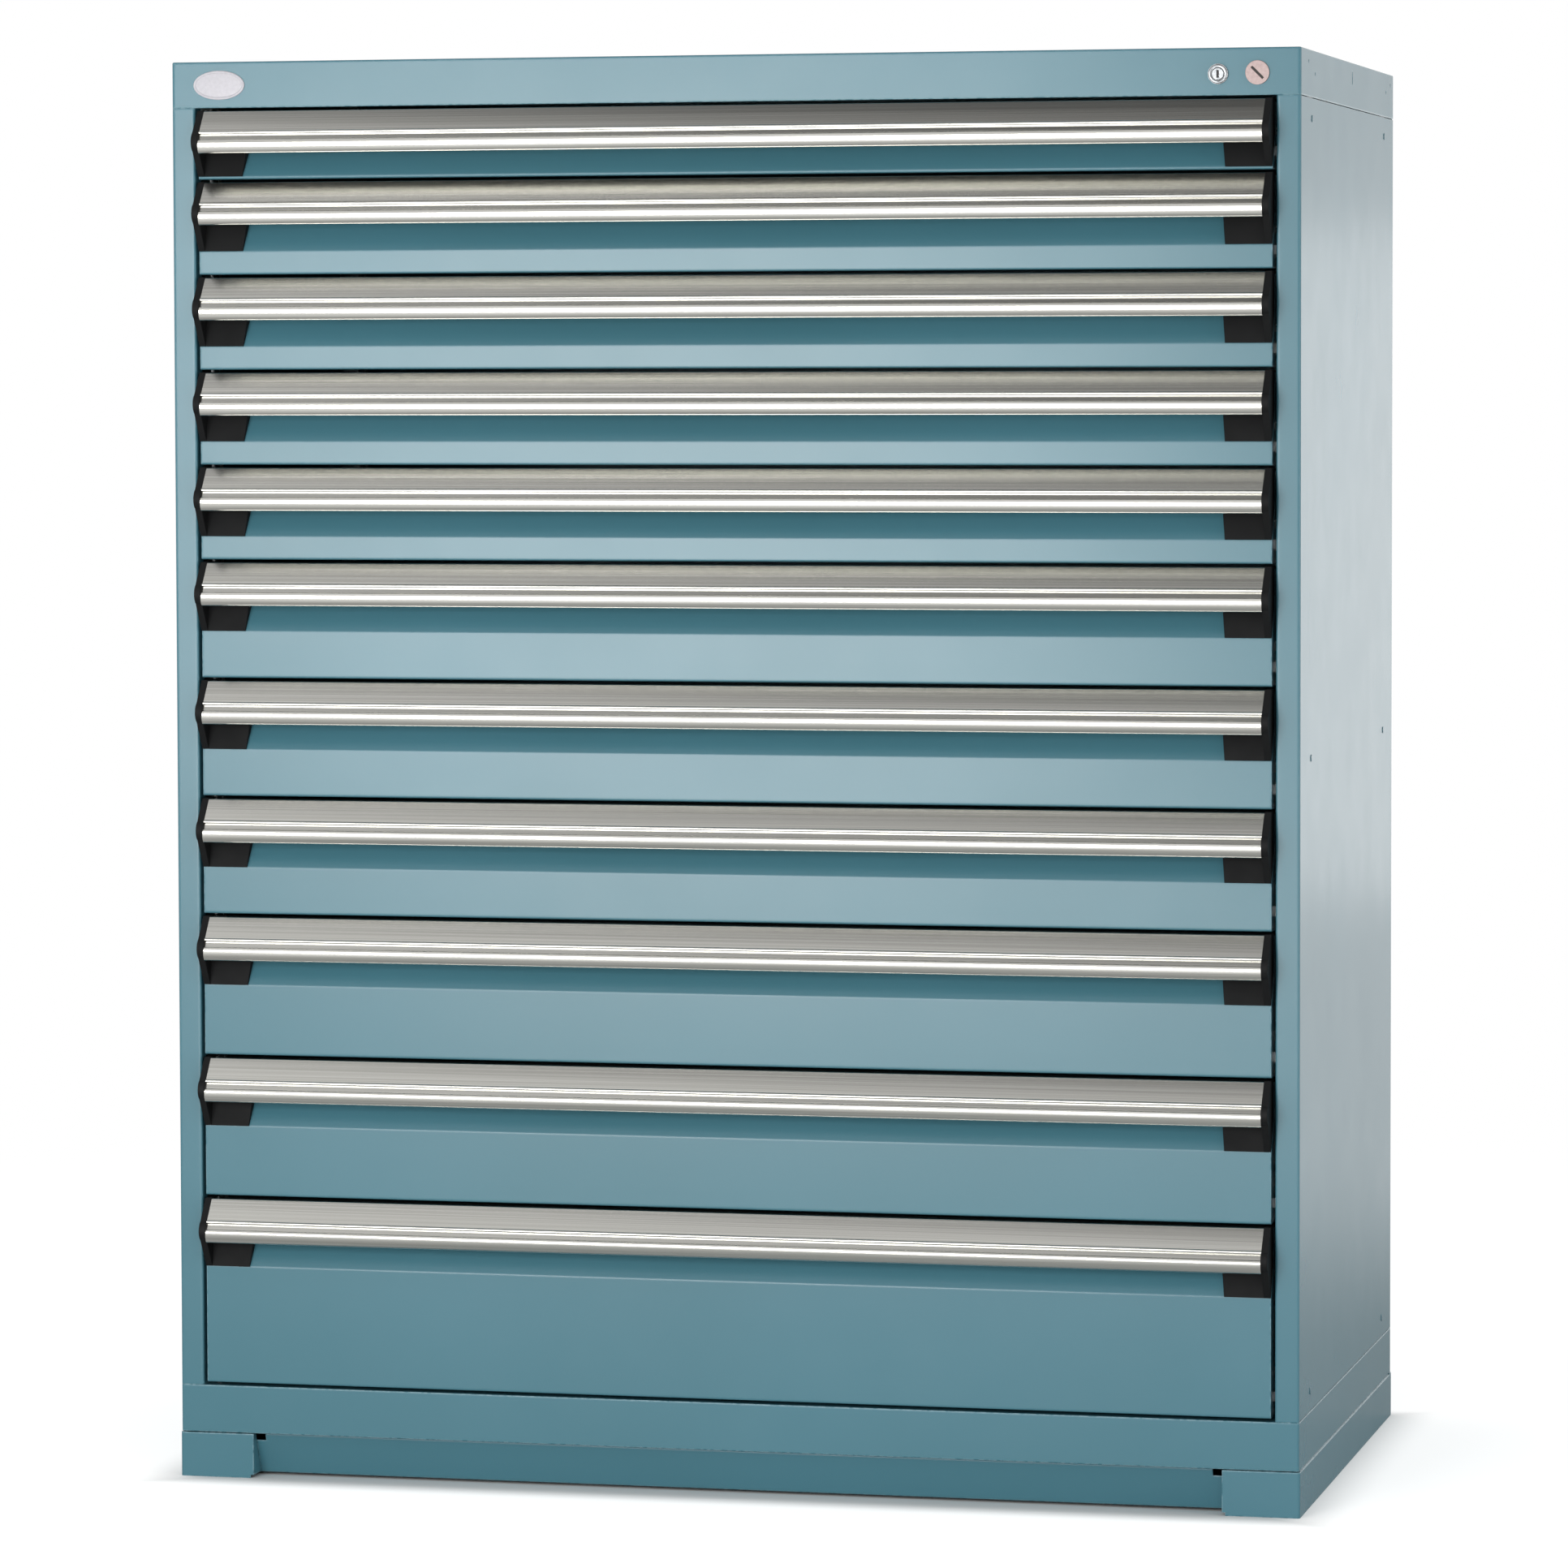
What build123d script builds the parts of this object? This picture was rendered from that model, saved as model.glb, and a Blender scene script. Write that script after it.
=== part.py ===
from build123d import *
import os
from math import radians, sin

# Modular drawer cabinet: a sheet-steel housing on a low base, with eleven full-width drawers.
# Sizes are in millimetres. X runs to the right, the drawers face -Y and +Z is up.
# The origin is on the floor, in the middle of the footprint with the handles counted in.
# Each shape is drawn with y = 0 on the front plane of the housing and y growing to the rear.
# Only the right-hand half of a pair is drawn; the left one is its mirror image.

# Housing; each drawer is a whole number of slots high
housing_width = 1219.2
housing_depth = 685.8
base_height = 49.0
sill_height = 50.85
header_height = 49.05
drawer_slots = (3, 4, 4, 4, 4, 5, 5, 5, 6, 6, 8)
slot_pitch = 25.4
stile_width = 25.4
stile_return = 20.0
rear_flange = 52.0
header_return = 22.0
housing_sheet = 1.5
fold_radius = 2.6
seam_gap = 0.9
back_clearance = 0.3

# Base frame and toe-kick plate
base_proud = 1.0
leg_width = 82.0
leg_return = 27.0
base_corner = 12.0
base_sheet = 2.0
base_flange = 40.0
base_corner_notch = 3.5
base_seam = 1.0
toe_top_inset = 7.0
toe_floor_gap = 3.0
toe_flange = 25.0
toe_notch_width = 11.0
toe_notch_height = 9.0

# Slotted uprights behind the side panels
upright_sheet = 2.0
upright_width = 32.0
upright_lip = 12.0
front_upright_inset = 60.0
rear_upright_inset = 57.8
upright_top_margin = 9.0
slot_width = 5.0
slot_height = 10.0

# Rivets between side panels and uprights, small holes in the skirt of the cover
rivet_radius = 2.0
rivet_head_radius = 3.6
rivet_head_height = 0.6
rivet_clearance = 0.1
rivet_end_distance = 22.0
skirt_hole_radius = 1.8
skirt_holes_front = ((52.0, 12.5), (96.0, 24.0))
skirt_holes_rear = ((24.8, 12.0), (60.2, 21.0))
skirt_slot_width = 3.0
skirt_slot_height = 13.0
skirt_slot_depth_place = 365.0
skirt_slot_drop = 16.5

# Drawer fronts
front_gap = 3.5
side_gap = 4.2
front_sheet = 1.5
front_depth = 24.0
front_fold = 2.0
front_top_drop = 4.2
recess_depth = 16.0
recess_wall_bottom = 42.0
recess_height = 75.0
bottom_strip = 3.0

# Drawer bodies
drawer_sheet = 1.2
drawer_back_gap = 45.8
drawer_lift = 10.0
drawer_top_drop = 14.0
runner_space = 25.4

# Handles
handle_top_drop = 2.0
handle_wall = 2.2
handle_height = 42.5
handle_top_reach = 3.0
label_face_height = 23.0
label_face_reach = 20.5
upper_bead_reach = 24.4
upper_bead_height = 4.8
groove_height = 4.2
groove_reach = 18.6
bead_root_reach = 21.8
bead_reach = 26.0
handle_web_height = 34.0

# End caps of the handles
cap_reach = 27.0
cap_cheek = 7.0
cap_width = 52.0
cap_proud = 0.8
cap_taper = 3.0
cap_gap = 0.2
cap_block_front = 4.0
cap_foot_reach = 2.0

# Telescopic runners
runner_sheet = 1.5
runner_height = 32.0
runner_reach = 10.5
runner_fold = 2.0
runner_centre = 30.0
fixed_runner_front = 45.0
drawer_runner_front = 40.0
runner_rear_gap = 45.8
slide_front = 40.0
slide_length = 595.0
slide_bar = 2.0
slide_bar_height = 26.0
roller_clearance = 0.3
roller_width = 8.5
roller_gap = 0.5
roller_pin_radius = 3.0
roller_bore_clearance = 0.1
pin_head_radius = 5.0
pin_head_height = 0.7
roller_end_distance = 16.0
roller_spacing = 255.0

# Lock
lock_from_right = 86.2
lock_drop = 27.0
barrel_radius = 8.0
barrel_length = 19.0
bezel_radius = 10.5
bezel_height = 2.0
plug_radius = 6.0
plug_clearance = 0.05
plug_proud = 1.0
key_slot_width = 2.4
key_slot_height = 8.0
key_slot_depth = 3.0
nut_across = 22.0
nut_height = 4.0
cam_thickness = 2.0
cam_radius = 8.0
cam_tip_radius = 4.5
cam_pin_radius = 2.5
lock_stroke = 12.0
cam_swing = 90.0
bar_thickness = 2.0
bar_width = 18.0
bar_inset = 3.6
bar_from_front = 27.0
arm_height = 22.0
arm_beyond_pin = 10.0
pin_slot_clearance = 0.6
lug_reach = 12.0
lug_height = 10.0
catch_lift = 28.0
catch_thickness = 2.0
catch_gap = 2.0
catch_foot = 10.0
catch_tip_gap = 2.2
bar_floor_gap = 2.0
guide_height = 16.0
guide_gap = 0.3
guide_wall = 1.4
guide_drop = 24.0

# Blanking cap and blank name plate on the header
blank_from_right = 45.2
blank_drop = 26.0
blank_radius = 12.5
blank_height = 1.8
blank_stem_radius = 9.0
blank_stem_length = 8.0
blank_slot_width = 2.4
blank_slot_length = 17.0
blank_slot_depth = 1.2
plate_from_left = 53.0
plate_drop = 25.0
plate_length = 57.0
plate_height = 31.0
plate_thickness = 1.4
plate_rim = 2.2
plate_rim_height = 0.8
header_hole_clearance = 0.1

# Levels and places that follow from the sizes above
drawer_pitches = [count * slot_pitch for count in drawer_slots]
sill_top = base_height + sill_height
drawers_bottom = sill_top + front_gap / 2
drawers_top = drawers_bottom + sum(drawer_pitches)
header_bottom = drawers_top + front_gap / 2
total_height = header_bottom + header_height
half_width = housing_width / 2
inner_half_width = half_width - housing_sheet
opening_half = half_width - stile_width
front_half = opening_half - side_gap
body_half = opening_half - runner_space
body_front = front_depth + drawer_sheet
body_back = housing_depth - drawer_back_gap
handle_half = front_half - cap_cheek
rear_upright_front = housing_depth - rear_upright_inset - upright_width
upright_fronts = (front_upright_inset, rear_upright_front)
front_y = (cap_reach - housing_depth) / 2

# The four members of one telescopic pair, outwards from the drawer body
slide_inner_x = (opening_half + body_half - slide_bar) / 2
slide_outer_x = slide_inner_x + slide_bar
roller_radius = runner_height / 2 - runner_sheet - roller_clearance

# The cam pin starts half of its swing below the level line and ends as far above it
cam_pin_arm = lock_stroke / 2 / sin(radians(cam_swing / 2))
lock_x = half_width - lock_from_right
lock_z = total_height - lock_drop
cam_front = barrel_length + plug_clearance
bar_outer_x = inner_half_width - bar_inset + housing_sheet
bar_inner_x = bar_outer_x - bar_width


# A slab between two opposite corners
def slab(x0, x1, y0, y1, z0, z1):
    centre = Pos((x0 + x1) / 2, (y0 + y1) / 2, (z0 + z1) / 2)
    return centre * Box(x1 - x0, y1 - y0, z1 - z0)


# A closed outline in y and z, drawn out along X
def along_x(face, x0, x1):
    return extrude(Plane.YZ.offset(x0) * face, amount=x1 - x0)


# A closed outline in x and z, drawn out to the rear
def along_y(face, y0, y1):
    front = Plane(origin=(0, y1, 0), x_dir=(1, 0, 0), z_dir=(0, -1, 0))
    return extrude(front * face, amount=y1 - y0)


# A closed outline in x and y, drawn upwards
def along_z(face, z0, z1):
    return extrude(Plane.XY.offset(z0) * face, amount=z1 - z0)


# A folded sheet seen end on: its outer face follows the points and its metal lies to their left
def folded(points, sheet, radius):
    path = FilletPolyline(*points, radius=radius)
    return make_face(offset(path, amount=sheet, side=Side.LEFT).edges())


# A round bar along X, hollow where it has a bore
def round_x(x0, x1, y, z, radius, bore=0.0):
    ring = Circle(radius) - Circle(bore) if bore else Circle(radius)
    return along_x(Pos(y, z) * ring, x0, x1)


# A round bar along Y, hollow where it has a bore
def round_y(x, z, y0, y1, radius, bore=0.0):
    ring = Circle(radius) - Circle(bore) if bore else Circle(radius)
    return along_y(Pos(x, z) * ring, y0, y1)


# The given pieces and their mirror images
def pair(pieces):
    return pieces + [mirror(piece, about=Plane.YZ) for piece in pieces]


# Centres of the rivets of one side panel, as y and z
def rivet_places():
    levels = (
        sill_top + rivet_end_distance,
        (sill_top + header_bottom) / 2,
        header_bottom - rivet_end_distance,
    )
    return [(front + upright_width / 2, level) for front in upright_fronts for level in levels]


# Side panel: stile with its return, outer wall and rear flange, from sill to header.
# The wall stops a little short of the pan and the cover, which leaves the two side seams.
def side_panel():
    section = folded(
        [
            (opening_half, stile_return),
            (opening_half, 0),
            (half_width, 0),
            (half_width, housing_depth),
            (half_width - rear_flange, housing_depth),
        ],
        housing_sheet,
        fold_radius,
    )
    panel = along_z(section, sill_top, header_bottom)
    seam_ends = (inner_half_width, half_width, fold_radius, housing_depth)
    seams = [
        slab(*seam_ends, sill_top, sill_top + seam_gap),
        slab(*seam_ends, header_bottom - seam_gap, header_bottom),
    ]
    hole_radius = rivet_radius + rivet_clearance
    holes = [
        round_x(inner_half_width, half_width, y, z, hole_radius) for y, z in rivet_places()
    ]
    return panel - seams - holes


# A shallow open box of folded sheet, seen from above
def tray(z0, z1):
    corner = Pos(0, housing_depth / 2)
    outer = corner * RectangleRounded(housing_width, housing_depth, fold_radius)
    inner = corner * RectangleRounded(
        housing_width - 2 * housing_sheet,
        housing_depth - 2 * housing_sheet,
        fold_radius - housing_sheet,
    )
    return along_z(outer, z0, z1), along_z(inner, z0, z1 - housing_sheet)


# Cover: flat top with skirts all round. The front skirt is the header, folded back at its foot,
# with holes for the lock and the blanking cap.
def top_cover():
    outer, inner = tray(header_bottom, total_height)
    rounded = fillet(outer.faces().sort_by(Axis.Z)[-1].edges(), housing_sheet)
    foot = slab(
        -inner_half_width,
        inner_half_width,
        housing_sheet,
        header_return,
        header_bottom,
        header_bottom + housing_sheet,
    )
    holes = [
        round_y(lock_x, lock_z, 0, housing_sheet, barrel_radius + header_hole_clearance),
        round_y(
            half_width - blank_from_right,
            total_height - blank_drop,
            0,
            housing_sheet,
            blank_stem_radius + header_hole_clearance,
        ),
    ]
    places = list(skirt_holes_front)
    places += [(housing_depth - distance, drop) for distance, drop in skirt_holes_rear]
    skirt_cuts = [
        round_x(inner_half_width, half_width, y, total_height - drop, skirt_hole_radius)
        for y, drop in places
    ]
    skirt_cuts.append(
        slab(
            inner_half_width,
            half_width,
            skirt_slot_depth_place - skirt_slot_width / 2,
            skirt_slot_depth_place + skirt_slot_width / 2,
            total_height - skirt_slot_drop - skirt_slot_height / 2,
            total_height - skirt_slot_drop + skirt_slot_height / 2,
        )
    )
    return rounded - inner + foot - holes - pair(skirt_cuts)


# Pan: the floor of the opening with skirts all round; the front skirt is the sill
def bottom_pan():
    outer, inner = tray(base_height, sill_top)
    return outer - inner


# Back panel: flat sheet against the rear flanges of the side panels
def back_panel():
    edge = half_width - fold_radius - back_clearance
    rear = housing_depth - housing_sheet
    return slab(-edge, edge, rear - housing_sheet, rear, sill_top, header_bottom)


# Base: on each side a leg face folded round the front corner, a plate beside the toe space,
# a side rail with flanges at foot and top; across the rear a rail folded round both corners.
# Leg faces and side rails stop a little short of the pan, which rests on the flanges.
def base_frame():
    outer = half_width + base_proud
    inner = outer - base_sheet
    leg_inner = outer - leg_width
    rear = housing_depth - base_corner
    rail_top = base_height - base_seam
    face_section = folded(
        [(leg_inner, 0), (outer, 0), (outer, base_corner)], base_sheet, fold_radius
    )
    notch = slab(leg_inner, leg_inner + base_corner_notch, 0, base_sheet, 0, base_corner_notch)
    face = along_z(face_section, 0, rail_top) - notch
    return_outline = Polyline(
        (base_sheet, base_corner_notch),
        (leg_return + base_sheet, base_corner_notch),
        (toe_top_inset + base_sheet, rail_top),
        (base_sheet, rail_top),
        close=True,
    )
    return_plate = along_x(make_face(return_outline), leg_inner, leg_inner + base_sheet)
    side = slab(inner, outer, base_corner, rear, 0, rail_top)
    flanges = [
        slab(inner - base_flange, inner, base_corner, rear, level, level + base_sheet)
        for level in (0, base_height - base_sheet)
    ]
    rail_section = folded(
        [
            (outer, rear),
            (outer, housing_depth),
            (-outer, housing_depth),
            (-outer, rear),
        ],
        base_sheet,
        fold_radius,
    )
    return pair([face, return_plate, side, *flanges]) + [along_z(rail_section, 0, base_height)]


# Toe-kick plate: leans back between the legs, folded back at its top, with a notch at each corner
def toe_kick_plate():
    section = folded(
        [
            (toe_top_inset + toe_flange, base_height),
            (toe_top_inset, base_height),
            (leg_return, toe_floor_gap),
        ],
        base_sheet,
        fold_radius,
    )
    half = half_width + base_proud - leg_width
    notch = slab(
        half - toe_notch_width,
        half,
        toe_top_inset,
        toe_top_inset + toe_flange,
        base_height - toe_notch_height,
        base_height,
    )
    return along_x(section, -half, half) - pair([notch])


# Uprights: lipped channels against the side panels, with a row of slots in each front lip
def uprights():
    top = total_height - upright_top_margin
    slot_count = sum(drawer_slots)
    posts = []
    for front in upright_fronts:
        back = front + upright_width
        section = folded(
            [
                (opening_half, front + upright_lip),
                (opening_half, front),
                (inner_half_width, front),
                (inner_half_width, back),
                (opening_half, back),
                (opening_half, back - upright_lip),
            ],
            upright_sheet,
            upright_sheet + housing_sheet,
        )
        slot_y = front + upright_lip - slot_width
        slots = [
            slab(
                opening_half,
                opening_half + upright_sheet,
                slot_y,
                slot_y + slot_width,
                drawers_bottom + (index + 0.5) * slot_pitch - slot_height / 2,
                drawers_bottom + (index + 0.5) * slot_pitch + slot_height / 2,
            )
            for index in range(slot_count)
        ]
        hole_radius = rivet_radius + rivet_clearance
        holes = [
            round_x(inner_half_width - upright_sheet, inner_half_width, y, z, hole_radius)
            for y, z in rivet_places()
            if front < y < back
        ]
        posts.append(along_z(section, sill_top, top) - slots - holes)
    return pair(posts)


# Rivets: a flat head outside the side panel and a shank through panel and upright
def rivets():
    inner = inner_half_width - upright_sheet
    heads = [
        round_x(half_width, half_width + rivet_head_height, y, z, rivet_head_radius)
        + round_x(inner, half_width, y, z, rivet_radius)
        for y, z in rivet_places()
    ]
    return pair(heads)


# A channel that opens towards the drawer when it is fixed, and away from it on the drawer
def runner_channel(web_x, tip_x, level):
    half = runner_height / 2
    side = -half if tip_x < web_x else half
    points = [
        (tip_x, level + side),
        (web_x, level + side),
        (web_x, level - side),
        (tip_x, level - side),
    ]
    return folded(points, runner_sheet, runner_fold)


# Fixed runners: one on each side of each drawer, on the lips of the uprights
def fixed_runners():
    rear = housing_depth - runner_rear_gap
    channels = [
        along_y(
            runner_channel(opening_half, opening_half - runner_reach, floor + runner_centre),
            fixed_runner_front,
            rear,
        )
        for floor in drawer_floors
    ]
    return pair(channels)


# One roller with its headed pin, on the side of the bar that direction points to
def roller(face_x, direction, y, level):
    start = face_x + direction * roller_gap
    end = start + direction * roller_width
    head = end + direction * pin_head_height
    ring = round_x(
        min(start, end),
        max(start, end),
        y,
        level,
        roller_radius,
        roller_pin_radius + roller_bore_clearance,
    )
    shank = round_x(min(face_x, end), max(face_x, end), y, level, roller_pin_radius)
    cap = round_x(min(end, head), max(end, head), y, level, pin_head_radius)
    return [ring, shank + cap]


# Telescopic members of one drawer: a bar on each side with two rollers in the fixed runner,
# at its rear, and two in the drawer runner, at its front
def slides(floor):
    level = floor + runner_centre
    rear = slide_front + slide_length
    bar = slab(
        slide_inner_x,
        slide_outer_x,
        slide_front,
        rear,
        level - slide_bar_height / 2,
        level + slide_bar_height / 2,
    )
    pieces = [bar]
    for spacing in (0, roller_spacing):
        pieces += roller(slide_outer_x, 1, rear - roller_end_distance - spacing, level)
        pieces += roller(slide_inner_x, -1, slide_front + roller_end_distance + spacing, level)
    return pair(pieces)


# Outline of a drawer front in y and z, with z = 0 at the top of the drawer's pitch
def front_points(pitch):
    bottom = front_gap / 2 - pitch
    recess_bottom = -min(recess_height, pitch - front_gap / 2 - bottom_strip)
    return [
        (front_depth, -front_top_drop),
        (recess_depth, -front_top_drop),
        (recess_depth, -recess_wall_bottom),
        (0, recess_bottom),
        (0, bottom),
        (front_depth, bottom),
    ]


# Drawer front: one sheet folded back at top and foot and bent in behind the handle,
# closed at both ends
def drawer_front(pitch):
    points = front_points(pitch)
    sheet = along_x(folded(points, front_sheet, front_fold), -front_half, front_half)
    outline = FilletPolyline(*points, radius=front_fold).edges()
    side_face = make_face(outline + Line(points[-1], points[0]).edges())
    side = along_x(side_face, front_half - front_sheet, front_half)
    return sheet + pair([side])


# Drawer body behind its front, with the drawer runners and the lock catch
def drawer_box(ceiling, pitch):
    floor = ceiling - pitch
    bottom_z = floor + drawer_lift
    wall_z = bottom_z + drawer_sheet
    wall_top = ceiling - drawer_top_drop
    wall_inner = body_half - drawer_sheet
    front = Pos(0, 0, ceiling) * drawer_front(pitch)
    inner_front = slab(
        -front_half,
        front_half,
        front_depth,
        body_front,
        floor + front_gap / 2,
        ceiling - front_top_drop,
    )
    bottom = slab(-body_half, body_half, body_front, body_back, bottom_z, wall_z)
    back = slab(-wall_inner, wall_inner, body_back - drawer_sheet, body_back, wall_z, wall_top)
    wall = slab(wall_inner, body_half, body_front, body_back, wall_z, wall_top)
    channel = along_y(
        runner_channel(body_half, body_half + runner_reach, floor + runner_centre),
        drawer_runner_front,
        body_back,
    )
    return [front, inner_front, bottom, back, lock_catch(floor)] + pair([wall, channel])


# Lock catch: a tab on the right-hand drawer wall that the lug of the lock bar holds back
def lock_catch(floor):
    tab_front = bar_from_front + bar_thickness + catch_gap
    levels = (floor + catch_lift, floor + catch_lift + lug_height)
    foot = slab(
        body_half,
        body_half + catch_thickness,
        tab_front - catch_foot / 2,
        tab_front + catch_thickness,
        *levels,
    )
    tip = opening_half - catch_tip_gap
    return foot + slab(body_half, tip, tab_front, tab_front + catch_thickness, *levels)


# Handle: top web hooked over the drawer front, leaning label face, two beads with a groove
# between them, and a rear web against the recess
def handle():
    top = -handle_top_drop
    web_z = -front_top_drop
    face_foot = top - label_face_height
    bead_foot = face_foot - upper_bead_height
    groove_foot = bead_foot - groove_height
    lip_foot = top - handle_height
    root_y = -bead_root_reach
    lower_bead = ThreePointArc(
        (root_y, groove_foot),
        (-bead_reach, (groove_foot + lip_foot) / 2),
        (root_y, lip_foot),
    )
    upper_bead = ThreePointArc(
        (-label_face_reach, face_foot),
        (-upper_bead_reach, (face_foot + bead_foot) / 2),
        (root_y, bead_foot),
    )
    front_edges = [
        Polyline((front_depth, top), (-handle_top_reach, top), (-label_face_reach, face_foot)),
        upper_bead,
        Polyline(
            (root_y, bead_foot),
            (-groove_reach, bead_foot),
            (-groove_reach, groove_foot),
            (root_y, groove_foot),
        ),
        lower_bead,
    ]
    rear_edges = Polyline(
        (root_y, lip_foot),
        (3 * handle_wall - bead_root_reach, lip_foot),
        (2 * handle_wall - label_face_reach, face_foot),
        (handle_wall / 2 - handle_top_reach, web_z),
        (recess_depth - handle_wall, web_z),
        (recess_depth - handle_wall, web_z - handle_web_height),
        (recess_depth, web_z - handle_web_height),
        (recess_depth, web_z),
        (front_depth, web_z),
        (front_depth, top),
    )
    section = make_face([edge for part in [*front_edges, rear_edges] for edge in part.edges()])
    return along_x(section, -handle_half, handle_half)


# End cap: a cheek over the end of the handle and a block in the recess below it
def end_cap(pitch):
    recess_bottom = front_points(pitch)[3][1]
    top = cap_proud - handle_top_drop
    face_foot = -handle_top_drop - label_face_height
    lip_foot = -handle_top_drop - handle_height - cap_proud
    wall_y = recess_depth - cap_gap
    bulge_side = label_face_reach + cap_proud
    cheek_edges = [
        Polyline((front_depth, top), (-handle_top_reach, top), (-bulge_side, face_foot)),
        ThreePointArc(
            (-bulge_side, face_foot), (-cap_reach, (face_foot + lip_foot) / 2), (-bulge_side, lip_foot)
        ),
        Polyline(
            (-bulge_side, lip_foot),
            (-cap_foot_reach, recess_bottom),
            (-cap_gap, recess_bottom),
            (wall_y, -recess_wall_bottom),
            (wall_y, cap_gap - front_top_drop),
            (front_depth, cap_gap - front_top_drop),
            (front_depth, top),
        ),
    ]
    cheek_face = make_face([edge for part in cheek_edges for edge in part.edges()])
    cheek = along_x(cheek_face, handle_half, front_half)
    block_inner = front_half - cap_width
    slope = (wall_y + cap_gap) / (recess_wall_bottom + recess_bottom)
    block_face = Polyline(
        (cap_block_front, lip_foot),
        (-cap_foot_reach, recess_bottom),
        (-cap_gap, recess_bottom),
        (wall_y + slope * (-recess_wall_bottom - lip_foot), lip_foot),
        close=True,
    )
    block = along_x(make_face(block_face), block_inner, handle_half)
    taper = Polyline(
        (block_inner, lip_foot),
        (block_inner, recess_bottom),
        (block_inner + cap_taper, recess_bottom),
        close=True,
    )
    return cheek + (block - along_y(make_face(taper), -cap_reach, front_depth))


# Lock barrel through the header, with its nut behind the sheet
def lock_barrel():
    barrel = round_y(lock_x, lock_z, 0, barrel_length, barrel_radius)
    bezel = round_y(lock_x, lock_z, -bezel_height, 0, bezel_radius)
    bore = round_y(lock_x, lock_z, -bezel_height, barrel_length, plug_radius + plug_clearance)
    hexagon = RegularPolygon(nut_across / 2, 6, major_radius=False)
    nut_face = Pos(lock_x, lock_z) * (hexagon - Circle(barrel_radius + header_hole_clearance))
    nut = along_y(nut_face, housing_sheet, housing_sheet + nut_height)
    return [barrel + bezel - bore, nut]


# Lock plug with its key slot, and the cam with its pin at the rear
def lock_plug():
    face_y = -bezel_height - plug_proud
    plug = round_y(lock_x, lock_z, face_y, cam_front, plug_radius)
    key_slot = slab(
        lock_x - key_slot_width / 2,
        lock_x + key_slot_width / 2,
        face_y,
        face_y + key_slot_depth,
        lock_z - key_slot_height / 2,
        lock_z + key_slot_height / 2,
    )
    cam_back = cam_front + cam_thickness
    pin_x = lock_x + lock_stroke / 2
    pin_z = lock_z - lock_stroke / 2
    hub = round_y(lock_x, lock_z, cam_front, cam_back, cam_radius)
    tip = round_y(pin_x, pin_z, cam_front, cam_back, cam_tip_radius)
    pin = round_y(pin_x, pin_z, cam_front, bar_from_front + 2 * bar_thickness, cam_pin_radius)
    return [plug - key_slot, hub + tip + pin]


# Lock bar: an upright strip with one lug for each drawer and an arm across to the cam pin.
# It is drawn in its lower, unlocked place, where each lug is just below its catch.
def lock_bar():
    depths = (bar_from_front, bar_from_front + bar_thickness)
    pin_z = lock_z - lock_stroke / 2
    arm_levels = (pin_z - arm_height / 2, pin_z + arm_height / 2)
    strip = slab(bar_inner_x, bar_outer_x, *depths, sill_top + bar_floor_gap, arm_levels[1])
    near_x = lock_x + lock_stroke / 2
    far_x = lock_x + cam_pin_arm
    arm = slab(near_x - arm_beyond_pin, bar_outer_x, *depths, *arm_levels)
    reach = cam_pin_radius + pin_slot_clearance
    pin_slot = slab(near_x - reach, far_x + reach, *depths, pin_z - reach, pin_z + reach)
    lug_z = catch_lift - lock_stroke
    lugs = [
        slab(
            bar_inner_x - lug_reach,
            bar_inner_x,
            *depths,
            floor + lug_z,
            floor + lug_z + lug_height,
        )
        for floor in drawer_floors
    ]
    return strip + arm - pin_slot + lugs


# Guide blocks of the lock bar, on the front of the right-hand front upright
def lock_guides():
    outer = Polyline(
        (bar_inner_x - guide_gap - guide_wall, bar_from_front - guide_gap - guide_wall),
        (inner_half_width, bar_from_front - guide_gap - guide_wall),
        (inner_half_width, front_upright_inset),
        (bar_inner_x - guide_gap - guide_wall, front_upright_inset),
        close=True,
    )
    passage = slab(
        bar_inner_x - guide_gap,
        bar_outer_x + guide_gap,
        bar_from_front - guide_gap,
        bar_from_front + bar_thickness + guide_gap,
        0,
        guide_height,
    )
    block = along_z(make_face(outer), 0, guide_height) - passage
    middle = len(drawer_ceilings) // 2
    ceilings = [drawer_ceilings[index] for index in (0, middle, -1)]
    return [Pos(0, 0, ceiling - guide_drop - guide_height / 2) * block for ceiling in ceilings]


# Blanking cap: a disc with a coin slot and a stem through the header
def blanking_cap():
    x = half_width - blank_from_right
    z = total_height - blank_drop
    disc = round_y(x, z, -blank_height, 0, blank_radius)
    stem = round_y(x, z, 0, blank_stem_length, blank_stem_radius)
    slot = slab(
        -blank_slot_length / 2,
        blank_slot_length / 2,
        -blank_height,
        blank_slot_depth - blank_height,
        -blank_slot_width / 2,
        blank_slot_width / 2,
    )
    return disc + stem - Pos(x, 0, z) * Rot(0, 45, 0) * slot


# Blank name plate: a flat oval plate with a raised rim
def name_plate():
    x = plate_from_left - half_width
    z = total_height - plate_drop
    outer = Pos(x, z) * Ellipse(plate_length / 2, plate_height / 2)
    inner = Pos(x, z) * Ellipse(plate_length / 2 - plate_rim, plate_height / 2 - plate_rim)
    front = -plate_thickness - plate_rim_height
    return along_y(outer, front, 0) - along_y(inner, front, -plate_thickness)


# Writes the solids of one node in their final place
def save(name, pieces):
    placed = [Pos(0, front_y, 0) * piece for piece in pieces]
    solids = [solid for piece in placed for solid in piece.solids()]
    export_step(Compound(solids), f"parts/{name}.step")


drawer_ceilings = [drawers_top - sum(drawer_pitches[:index]) for index in range(len(drawer_pitches))]
drawer_floors = [ceiling - pitch for ceiling, pitch in zip(drawer_ceilings, drawer_pitches)]

os.makedirs("parts", exist_ok=True)

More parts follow.
